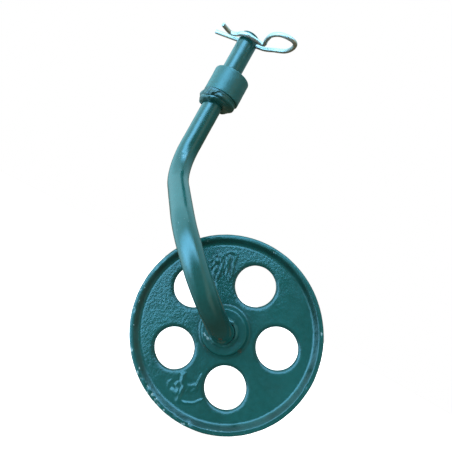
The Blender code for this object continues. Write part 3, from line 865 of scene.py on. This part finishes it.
def weld_ripples(points, flat, from_ring, waves, fine, seed):
    """Height of a hand-laid bead's ripples, 0.4 mm x sin(waves a + 1.5 lumps) and finer lumps, and how free
    each point is of the bar and the ring."""
    swing = waves * np.arctan2(flat[:, 1], flat[:, 0]) + 1.5 * lumps(points, 0.012, seed)
    ripple = 0.0004 * np.sin(swing) + fine * lumps(points, 0.0030, seed + 1)
    r = np.linalg.norm(flat, axis=1)
    return ripple, step(r, BAR + 0.0008, BAR + 0.0020) * step(from_ring, 0.0003, 0.0012)


def build_stop_weld(material):
    """The rippled bead under the stop ring, leaned over with it."""
    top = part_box("stop_ring_weld")[1][2]
    mesh = weld_bead("stop_weld_bead", UP * top, 0.0068, 0.0042, 0.0024, axis_y=False)
    points = points_of(mesh)[0]
    ripple, free = weld_ripples(points, points[:, :2], top - points[:, 2], 7, 0.0005, 51)
    r = np.linalg.norm(points[:, :2], axis=1)
    turn = points[:, 0] / np.maximum(r, 0.001)
    mark(mesh, "dull", np.full(len(points), 0.7))
    # Evenly darker all over.
    mark(mesh, "shade_and_grime", np.full(len(points), 0.5))
    raise_surface(mesh, ripple * free)
    lean_stop(mesh, step(r, BAR + 0.0008, BAR + 0.0030) * (0.0006 + 0.0018 * turn))
    return piece("stop_weld_bead", mesh, material, "spindle", "stop_ring_weld")


def build_hub_stop(material):
    """A thin turned ring, slightly lumpy in front and flat where it bears on the boss."""
    low, high = box_of("hub_stop_washer")
    mesh = turned_ring("hub_stop_ring", AXLE + ALONG_Y * low[1], WELD_BORE, (high[0] - low[0]) / 2,
                       high[1] - low[1], (0.0003, 0.0009, 0.0009, 0.0003), 0.0006, columns=120)
    points = points_of(mesh)[0]
    r = np.linalg.norm((points - AXLE)[:, [0, 2]], axis=1)
    free = step(r, WELD_BORE + 0.0004, WELD_BORE + 0.0015)
    height = 0.00016 * lumps(points, 0.005, 61) * free - 0.00003
    raise_surface(mesh, height * step(high[1] - points[:, 1], 0.0001, 0.0006))
    return piece("hub_stop_ring", mesh, material, "spindle", "hub_stop_washer")


def build_hub_weld(material):
    """The rippled bead in front of the hub's stop ring."""
    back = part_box("hub_stop_weld")[1][1]
    mesh = weld_bead("hub_weld_bead", AXLE + ALONG_Y * back, 0.0034, 0.0034, 0.0006, axis_y=True)
    points = points_of(mesh)[0]
    flat = (points - AXLE)[:, [0, 2]]
    ripple, free = weld_ripples(points, flat, back - points[:, 1], 6, 0.0004, 71)
    raise_surface(mesh, (ripple - 0.0002) * free)
    return piece("hub_weld_bead", mesh, material, "spindle", "hub_stop_weld")


def build_end_washer(material):
    """A plain stamped washer."""
    low, high = box_of("end_washer")
    mesh = turned_ring("axle_washer", AXLE + ALONG_Y * low[1], WELD_BORE, (high[0] - low[0]) / 2,
                       high[1] - low[1], (0.0003, 0.0006, 0.0008, 0.0003), 0.0008)
    raise_surface(mesh, 0.00003 * lumps(points_of(mesh)[0], 0.006, 81) - 0.00002)
    return piece("axle_washer", mesh, material, "spindle", "end_washer")


# ---------------------------------------------------------------- wires
def wire_mesh(name, flat, centre, right, ahead, radius, tip):
    """A round wire along a flat curve: point = centre + u right + v ahead; its side direction is the
    plane's own normal. The two ends are rounded over by the tip length."""
    line = centre + flat[:, :1] * right + flat[:, 1:] * ahead
    tangent = unit(np.gradient(line, axis=0))
    normal = unit(np.cross(right, ahead))
    side = np.repeat(normal[None], len(line), 0)
    rows = domed(line, tangent, side, np.full(len(line), radius), tip, rows=5, caps=3)
    return shell(name, [(tube(*rows, 24), True, None)])


def build_clip(material):
    """The clip lies in a level plane: its straight leg runs through the bar, its other leg waves round the
    bar's front, and a wide loop joins them."""
    hug = BAR + CLIP_WIRE + 0.0014
    wire = 2 * CLIP_WIRE
    neck = wire * 1.7
    far = hug + 0.0062
    long = 0.041
    wide = 0.0335
    angles = np.radians([138, 112, 84, 58])
    wave = np.array([[-hug * 1.92, wire * 3.9], [-hug * 1.62, wire * 2.45], [-hug * 1.30, wire * 1.60]])
    over_bar = on_circle(hug, angles)
    loop = np.array([
        [far, neck + 0.0003], [far + long * 0.12, neck + wide * 0.30],
        [far + long * 0.30, neck + wide * 0.65], [far + long * 0.58, neck + wide * 0.84],
        [far + long * 0.88, neck + wide * 0.80],
        [far + long, neck + wide * 0.62], [far + long * 0.90, neck + wide * 0.32],
        [far + long * 0.68, wire * 2.1], [far + long * 0.34, wire * 1.05]])
    straight = np.array([[far + long * 0.05, wire * 0.16], [BAR + 0.001, 0.0], [0.0, 0.0],
                         [-BAR - 0.0326, 0.0]])
    flat = curve_through(np.vstack([wave, over_bar, loop, straight]), 12)
    right = np.array([math.cos(CLIP_TURN), math.sin(CLIP_TURN), 0.0])
    ahead = np.array([math.sin(CLIP_TURN), -math.cos(CLIP_TURN), 0.0])
    mesh = wire_mesh("hairpin_clip", flat, UP * CLIP_HEIGHT, right, ahead, CLIP_WIRE, 0.0008)
    return piece("hairpin_clip", mesh, material, "clip", "retaining_clip")


def build_split_pin(material):
    """An upright pin: an eye above the axle, two legs side by side through it, and their bent tips
    below."""
    reach = BAR + 0.0014
    side = PIN_WIRE + 0.00025
    tip = 0.0062
    spread_out = 0.0068
    eye = 0.0027
    down = np.array([[spread_out + side, -reach - tip], [spread_out * 0.45 + side, -reach - tip * 0.55],
                     [side, -reach], [side, -reach * 0.3], [side, reach * 0.3], [side, reach]])
    turns = np.radians(-50 + 35 * np.arange(9))
    around = on_circle(eye, turns) + np.array([0.0, reach + 2.1 * eye])
    up = down[::-1] * np.array([-1, 1])
    flat = curve_through(np.vstack([down, around, up]), 8)
    centre = AXLE + ALONG_Y * PIN_PLACE
    mesh = wire_mesh("cotter", flat, centre, np.array([1.0, 0.0, 0.0]), UP, PIN_WIRE, 0.0004)
    return piece("cotter", mesh, material, "spindle", "split_pin")


# ---------------------------------------------------------------- camera, floor and light
CAMERA_PLACE = (0.15478, -0.42123, -0.17491)
CAMERA_AHEAD = (-0.1680, 0.9808, 0.0990)
CAMERA_UP = (-0.4500, -0.1656, 0.8775)
LENS = 30.53                 # millimetres
SENSOR = 36.0

# Light from each part of the surroundings, as red, green and blue.
SKY = (1.52, 1.70, 1.88)
GROUND = (0.24, 0.24, 0.15)
MIRRORED_ROOM = (0.15, 0.16, 0.10)
MIRRORED_SKY = (0.70, 1.30, 1.50)
RIGHT_PANEL = (0.75, 0.80, 0.60)
LEFT_PANEL = (1.35, 2.7, 3.2)
STRIP = (3.4, 9.0, 13.8)
WHITE = (1.0, 1.0, 1.0)


def place_camera():
    ahead = Vector(CAMERA_AHEAD).normalized()
    right = ahead.cross(Vector(CAMERA_UP)).normalized()
    up = right.cross(ahead)
    data = bpy.data.cameras.new("camera")
    data.lens = LENS
    data.sensor_width = SENSOR
    data.clip_start = 0.01
    camera = bpy.data.objects.new("camera", data)
    turned = Matrix((right, up, -ahead)).transposed().to_4x4()
    camera.matrix_world = Matrix.Translation(CAMERA_PLACE) @ turned
    bpy.context.scene.collection.objects.link(camera)
    bpy.context.scene.camera = camera


def place_floor():
    """A plain white round floor just under the wheel. It gives its own even light to the camera only, and
    takes no shadow."""
    columns = 96
    radii = np.array([0.0, 0.15, 3.0])
    ring = np.hstack([on_circle(1.0, full_turn(columns)), np.zeros((columns, 1))])
    grid = radii[:, None, None] * ring[None] + np.array([0.05, 0.0, cad_box[0][2] - 0.001])
    mesh = bpy.data.meshes.new("floor")
    mesh.from_pydata(grid.reshape(-1, 3), [], faces_of(len(radii), columns, 0, True))
    floor = bpy.data.objects.new("floor", mesh)
    bpy.context.scene.collection.objects.link(floor)
    material = bpy.data.materials.new("floor_paint")
    material.use_nodes = True
    shader = material.node_tree.nodes["Principled BSDF"]
    shader.inputs["Base Color"].default_value = (0.8, 0.8, 0.8, 1.0)
    shader.inputs["Roughness"].default_value = 0.9
    shader.inputs["Emission Color"].default_value = (*WHITE, 1.0)
    shader.inputs["Emission Strength"].default_value = 1.0
    mesh.materials.append(material)
    floor.visible_diffuse = False
    floor.visible_glossy = False
    floor.visible_shadow = False


def light_scene():
    """Soft surroundings and no lamps. The camera sees white. Matt light comes from a pale sky on the upper
    left and fades to a dim warm ground. Mirrored light is dark at eye level and pale above, with a panel on
    the right, a wide one on the left and a long bright strip between them."""
    world = bpy.data.worlds.new("studio")
    bpy.context.scene.world = world
    world.use_nodes = True
    tree = world.node_tree
    tree.nodes.clear()
    direction = sockets(tree, "ShaderNodeTexCoord", {}).outputs["Generated"]
    height = sockets(tree, "ShaderNodeSeparateXYZ", {"Vector": direction}).outputs["Z"]
    level = sockets(tree, "ShaderNodeVectorMath", {0: direction, 1: (1.0, 1.0, 0.0)}, operation="MULTIPLY")
    level = sockets(tree, "ShaderNodeVectorMath", {0: level.outputs[0]}, operation="NORMALIZE").outputs[0]

    def side_of(degrees, narrow, wide, low, high):
        """1 within the narrow angle of a compass direction, 0 past the wide one or below the low height."""
        a = math.radians(degrees)
        facing = sockets(tree, "ShaderNodeVectorMath", {0: level, 1: (math.cos(a), math.sin(a), 0.0)},
                         operation="DOT_PRODUCT").outputs["Value"]
        around = spread(tree, facing, math.cos(math.radians(wide)), math.cos(math.radians(narrow)))
        return sum_of(tree, "MULTIPLY", around, spread(tree, height, low, high))

    def toward(axis):
        """How far each direction lies towards that one, from -1 to 1."""
        return sockets(tree, "ShaderNodeVectorMath", {0: direction, 1: Vector(axis).normalized()},
                       operation="DOT_PRODUCT").outputs["Value"]

    day = spread(tree, toward((-0.62, -0.55, 0.56)), -0.5, 0.9)
    diffuse = blend_of(tree, day, GROUND, SKY)
    gloss = blend_of(tree, spread(tree, height, 0.3, 0.8), MIRRORED_ROOM, MIRRORED_SKY)
    gloss = blend_of(tree, side_of(-32, 6, 20, -0.5, -0.2), gloss, RIGHT_PANEL)
    gloss = blend_of(tree, side_of(-166, 22, 66, -0.95, -0.55), gloss, LEFT_PANEL)
    off_strip = sockets(tree, "ShaderNodeMath", {0: toward((-0.718, 0.469, 0.514))}, operation="ABSOLUTE")
    strip = spread(tree, off_strip.outputs[0], 0.40, 0.12)
    strip = sum_of(tree, "MULTIPLY", strip, side_of(-125, 60, 85, -0.75, -0.40))
    strip = sum_of(tree, "MULTIPLY", strip, spread(tree, height, 0.95, 0.75))
    gloss = blend_of(tree, strip, gloss, STRIP)
    rays = sockets(tree, "ShaderNodeLightPath", {})
    colour = blend_of(tree, rays.outputs["Is Glossy Ray"], diffuse, gloss)
    colour = blend_of(tree, rays.outputs["Is Camera Ray"], colour, WHITE)
    shown = sockets(tree, "ShaderNodeBackground", {"Color": colour, "Strength": 1.0})
    out = tree.nodes.new("ShaderNodeOutputWorld")
    tree.links.new(shown.outputs[0], out.inputs["Surface"])
    bpy.context.scene.view_settings.view_transform = "Standard"


def main():
    place_camera()
    place_floor()
    light_scene()
    cast = enamel("enamel_on_cast_iron", 340.0, 0.90, 0.05, 0.20, 1.39, 0.0)
    bar = enamel("enamel_on_bar", 150.0, 0.05, 0.0, 0.20, 1.50, 0.1)
    plated = zinc("bright_zinc", ZINC_COOL, ZINC_WARM)
    build_wheel(cast)
    build_spindle(bar)
    build_sleeve(bar)
    build_stop_ring(bar)
    build_stop_weld(bar)
    build_hub_stop(bar)
    build_hub_weld(bar)
    build_end_washer(plated)
    build_clip(plated)
    build_split_pin(plated)


main()
